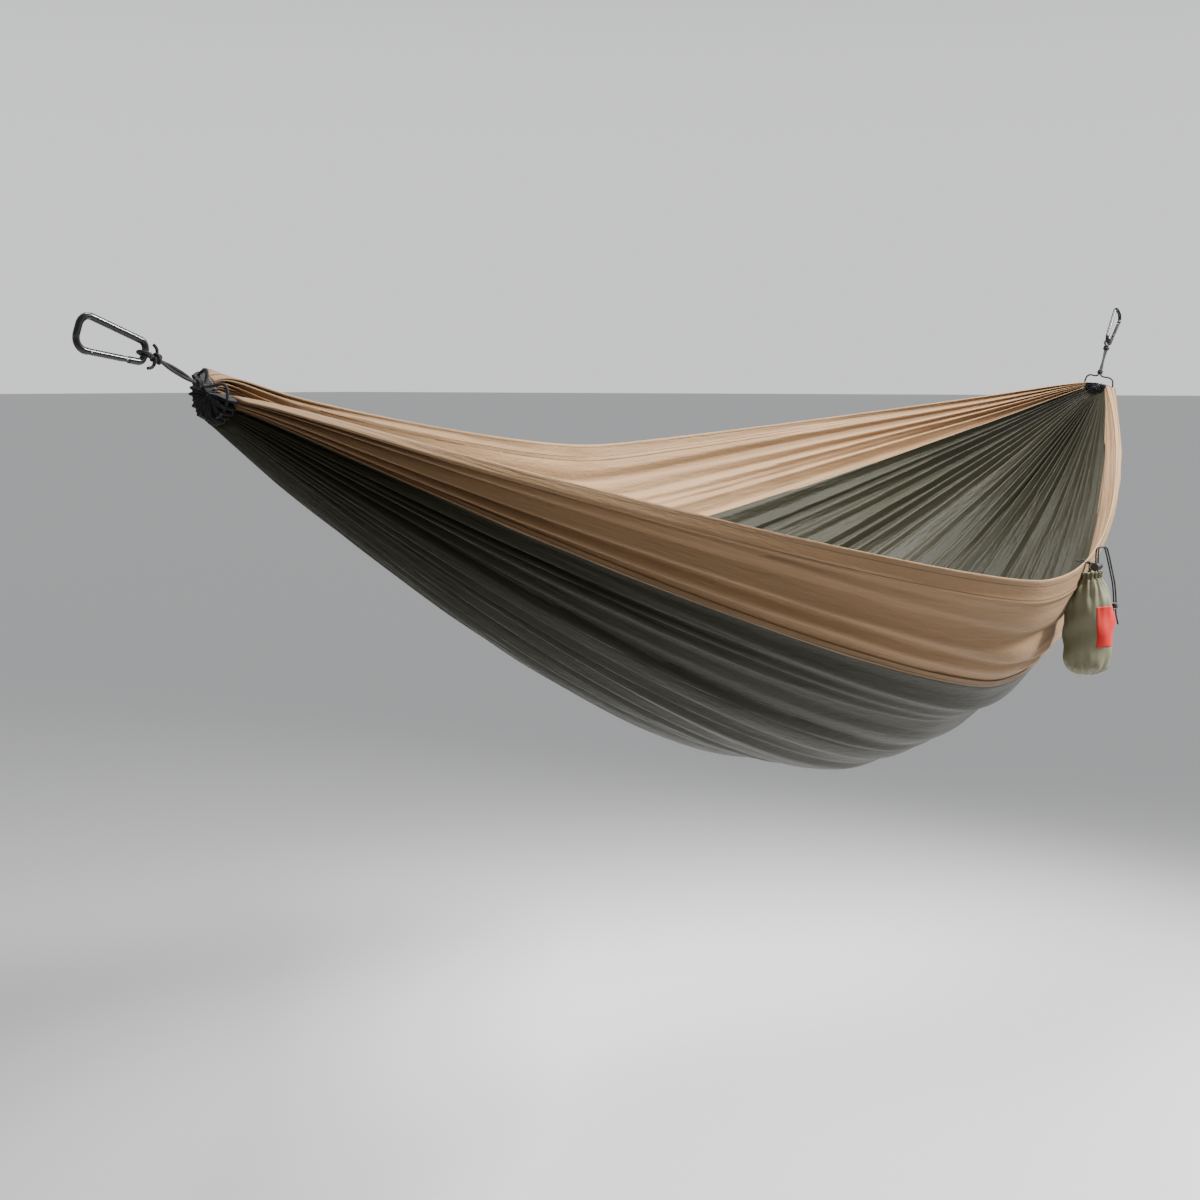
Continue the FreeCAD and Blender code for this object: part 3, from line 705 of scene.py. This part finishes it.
turns = np.linspace(0.0, 2.0 * math.pi, 181)
shares = np.linspace(0.0, 1.0, 110)
body_points = sack_point(shares[:, None], turns[None, :])
rim = sack_point(np.array([1.0])[:, None], turns[None, :])[0]
close = []
for s in np.linspace(0.85, 0.0, 12):
    ring = HANG + np.array([0, 0, MOUTH_LOW - SACK_LONG])
    row = ring + (rim - ring) * np.array([s, s, 1.0])
    row[:, 2] = ring[2] - 0.0030 * (1 - s) ** 0.5 * s * 2.2 + 0.004 * (1.0 - s) ** 2
    row[:, 2] += 0.0006 * np.sin(12.0 * turns) * s
    close.append(row)
all_rows = np.concatenate([body_points, np.array(close)])
sack_uv = np.stack(np.broadcast_arrays(np.linspace(0.0, 0.19, len(all_rows))[:, None],
                                       turns[None, :] * UV_PER_TURN), axis=-1)
sack = grid_object("sack_cloth_body", all_rows, sack_cloth, sack_uv)
thicken(sack, 0.0006, -1.0)

# the drawn mouth, up from the shoulder and then down inside itself
mouth_rows = []
for height, wide, depth, ruffle in (
        (-0.0290, 0.60, 0.55, 0.12), (-0.0262, 0.52, 0.49, 0.16), (-0.0235, 0.48, 0.46, 0.18),
        (-0.0205, 0.45, 0.45, 0.22), (-0.0178, 0.46, 0.46, 0.24), (-0.0155, 0.49, 0.48, 0.24),
        (-0.0138, 0.51, 0.49, 0.22), (-0.0132, 0.48, 0.47, 0.20), (-0.0140, 0.42, 0.42, 0.18),
        (-0.0160, 0.32, 0.32, 0.15), (-0.0185, 0.19, 0.19, 0.10), (-0.0195, 0.06, 0.06, 0.0)):
    wave = 1.0 + ruffle * np.sin(17.0 * turns + 0.8 * np.sin(3.0 * turns)) * 0.5
    mouth_rows.append(HANG + np.stack([SACK_WIDE * wide * np.cos(turns) * wave,
                                       SACK_DEEP * depth * np.sin(turns) * wave,
                                       height + 0.0009 * np.sin(5.0 * turns + 1.0)], axis=-1))
mouth_rows = np.array(mouth_rows)
mouth_uv = np.stack(np.broadcast_arrays(np.linspace(0.0, 0.03, len(mouth_rows))[:, None],
                                        turns[None, :] * UV_PER_TURN), axis=-1)
mouth = grid_object("sack_drawn_mouth", mouth_rows, sack_cloth, mouth_uv)

label_share = np.linspace(0.287, 0.713, 40)
label_turn = np.linspace(math.radians(226.0), math.radians(314.0), 60)
label_points = sack_point(label_share[:, None], label_turn[None, :], 0.0009)
red_thread = (0.35, 0.012, 0.010)
red_stitch = nylon("label_red_stitched", (0.50, 0.020, 0.017), rough=0.6, crease=0.0003,
                   lines=((0.0022, red_thread, 0.003), (0.0558, red_thread, 0.003)))
label_uv = np.stack(np.broadcast_arrays(np.linspace(0.0, 0.064, 40)[:, None],
                                        np.linspace(0.0, 0.058, 60)[None, :]), axis=-1)
label = grid_object("sack_red_label", label_points, red_stitch, label_uv)
thicken(label, 0.0007, 0.0)

ring_turn = np.linspace(-0.5 * math.pi - 0.9, 1.5 * math.pi - 0.9 - 0.3, 26)
band = [(0.0022 * math.cos(a), 0.0022 * math.sin(a)) for a in ring_turn]
band += [(0.0008, -0.0052), (0.0003, -0.0085), (0.0, -0.0150)]
band_rows = np.array([[HANG + np.array([x, y, z]) for x in np.linspace(-0.005, 0.005, 7)]
                      for y, z in band])
band_uv = np.stack(np.broadcast_arrays(np.linspace(0.0, 0.03, len(band))[:, None],
                                       np.linspace(0.0, 0.010, 7)[None, :]), axis=-1)
tape = grid_object("sack_hang_tape", band_rows, sack_cloth, band_uv)
thicken(tape, 0.0009, 0.0)

# the cord loop sewn to the near hem, that the sack hangs from
out_dir = np.array([0.0, -math.sin(NEAR_ANGLE), -math.cos(NEAR_ANGLE)])
in_dir = np.array([0.0, math.cos(NEAR_ANGLE), -math.sin(NEAR_ANGLE)])
edge = HANG - out_dir * 0.0200
foot = edge + in_dir * 0.006
elbow = foot + (HANG - foot) * 0.6
leg, crown = np.array([0.008, 0, 0]), np.array([0.0079, 0, 0])
staple_route = [foot - leg, elbow - leg, HANG - crown, HANG, HANG + crown, elbow + leg, foot + leg]
thin_cord = cord_material("thin_cord_braid", (0.016, 0.016, 0.017), pitch=0.0028, turns=5.0)
STAPLE_RADIUS = 0.00125
staple = tube("hem_hang_loop", nurbs_route(staple_route, 10), STAPLE_RADIUS, thin_cord)
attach(staple, "bed")
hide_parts("hang_loop")

# ---- drawcord: two strands through the lock, bent over and hanging to one knot
THIN = 0.0026
FRONT = -0.011
STRAND_APART = 0.0019  # half the distance between the strands' centre lines
strands = []
for name, sign in (("a", 1.0), ("b", -1.0)):
    shift = sign * STRAND_APART
    # millimetres from the hanging point: across, share of the shift, forward, up
    strand = [(0, 1, 0, -14), (0, 1, 0, -4), (0, 1, 0, 10), (0, 1, 0, 18), (1, 1, -0.5, 24),
              (9, 1, -4.2, 25), (16, 1, -7.5, 25), (20, 1, -10.5, 9), (24.5, 1, -14.9, -16),
              (29, 1, -19, -40), (30, 1, -20, -64)]
    tail = [(30, 1, -20, -75), (30, 1, -20, -81), (31, 1.5, -20.5, -89), (31, 2.2, -22, -99)]
    for kind, route in (("strand_", strand), ("tail_", tail)):
        points = [HANG + np.array([x / 1000, FRONT + apart * shift + y / 1000, z / 1000])
                  for x, apart, y, z in route]
        line = nurbs_route(points, 10)
        piece = tube("drawcord_line_" + kind + name, line, THIN / 2, thin_cord)
        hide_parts("drawcord_" + kind + name)
        strands.append((piece, line, points[0]))
knot_at = HANG + np.array([0.030, FRONT - 0.020, -0.0695])
cord_knot = join("drawcord_overhand_knot", [
    tube("k", trefoil(knot_at + np.array([0, 0, 0.0012]), (0, 0, 1), 0.00135, 0.4), THIN / 2,
         thin_cord, caps=False),
    tube("k", trefoil(knot_at - np.array([0, 0, 0.0016]), (0, 0, 1), 0.00135, 1.5), THIN / 2,
         thin_cord, caps=False)])
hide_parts("drawcord_knot")
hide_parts("sack_body")
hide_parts("sack_channel")
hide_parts("sack_label")
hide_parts("sack_tape")
for piece in (sack, mouth, label, tape, cord_knot, *[entry[0] for entry in strands]):
    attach(piece, "sack")
for index, extra in ((0, [cord_knot, strands[1][0]]), (2, [strands[3][0]])):
    piece, line, start = strands[index]


# ------------------------------------------------------------------ stage, light and camera

floor_mat = node_material("pale_floor", (0.80, 0.80, 0.80), 0.9)[0]
bpy.ops.mesh.primitive_plane_add(size=400.0, location=(1.6, 0.0, -1.60))
floor = bpy.context.object
floor.name = "studio_floor"
floor.data.materials.append(floor_mat)

# the surroundings are bright along the horizon and dimmer above and below it
world = bpy.data.worlds.new("studio")
bpy.context.scene.world = world
world.use_nodes = True
sky = world.node_tree
toward = sky.nodes.new("ShaderNodeTexCoord").outputs["Generated"]
direction = add(sky, "ShaderNodeSeparateXYZ", Vector=toward)
height = math_node(sky, "ABSOLUTE", direction.outputs[2])
fall = sky.nodes.new("ShaderNodeMapRange")
sky.links.new(height, fall.inputs["Value"])
fall.inputs["From Min"].default_value = 0.12
fall.inputs["From Max"].default_value = 0.40
fall.inputs["To Min"].default_value = 1.00
fall.inputs["To Max"].default_value = 0.45
fall.interpolation_type = "SMOOTHSTEP"
sky.nodes["Background"].inputs["Color"].default_value = (0.97, 0.98, 1.0, 1.0)
sky.links.new(fall.outputs[0], sky.nodes["Background"].inputs["Strength"])


def area_light(name, place, target, size, power, spread):
    light = bpy.data.lights.new(name, "AREA")
    light.shape = "RECTANGLE"
    light.size, light.size_y = size
    light.energy = power
    light.spread = spread
    obj = bpy.data.objects.new(name, light)
    obj.location = place
    obj.rotation_euler = (Vector(target) - Vector(place)).to_track_quat("-Z", "Y").to_euler()
    bpy.context.scene.collection.objects.link(obj)


TOP_WATTS, KEY_WATTS = 58.0, 112.0
area_light("top", (1.75, 0.10, 1.25), (1.75, 0.0, -0.4), (2.6, 0.8), TOP_WATTS,
           math.radians(95.0))
area_light("key", (3.5, -2.6, 1.9), (1.8, -0.3, -0.4), (0.9, 0.9), KEY_WATTS,
           math.radians(80.0))

camera = bpy.data.cameras.new("photo_camera")
SENSOR, FOCAL_PIXELS, FRAME_PIXELS = 36.0, 1811.0, 1200.0
camera.sensor_width = SENSOR
camera.lens = SENSOR * FOCAL_PIXELS / FRAME_PIXELS
camera.clip_end = 400.0
eye = Vector((-1.298, -1.705, -0.0586))
yaw, pitch = math.radians(53.12), math.radians(6.87)
look = Vector((math.sin(yaw) * math.cos(pitch), math.cos(yaw) * math.cos(pitch),
               -math.sin(pitch)))
camera_object = bpy.data.objects.new("photo_camera", camera)
camera_object.location = eye
camera_object.rotation_euler = look.to_track_quat("-Z", "Y").to_euler()
bpy.context.scene.collection.objects.link(camera_object)
bpy.context.scene.camera = camera_object
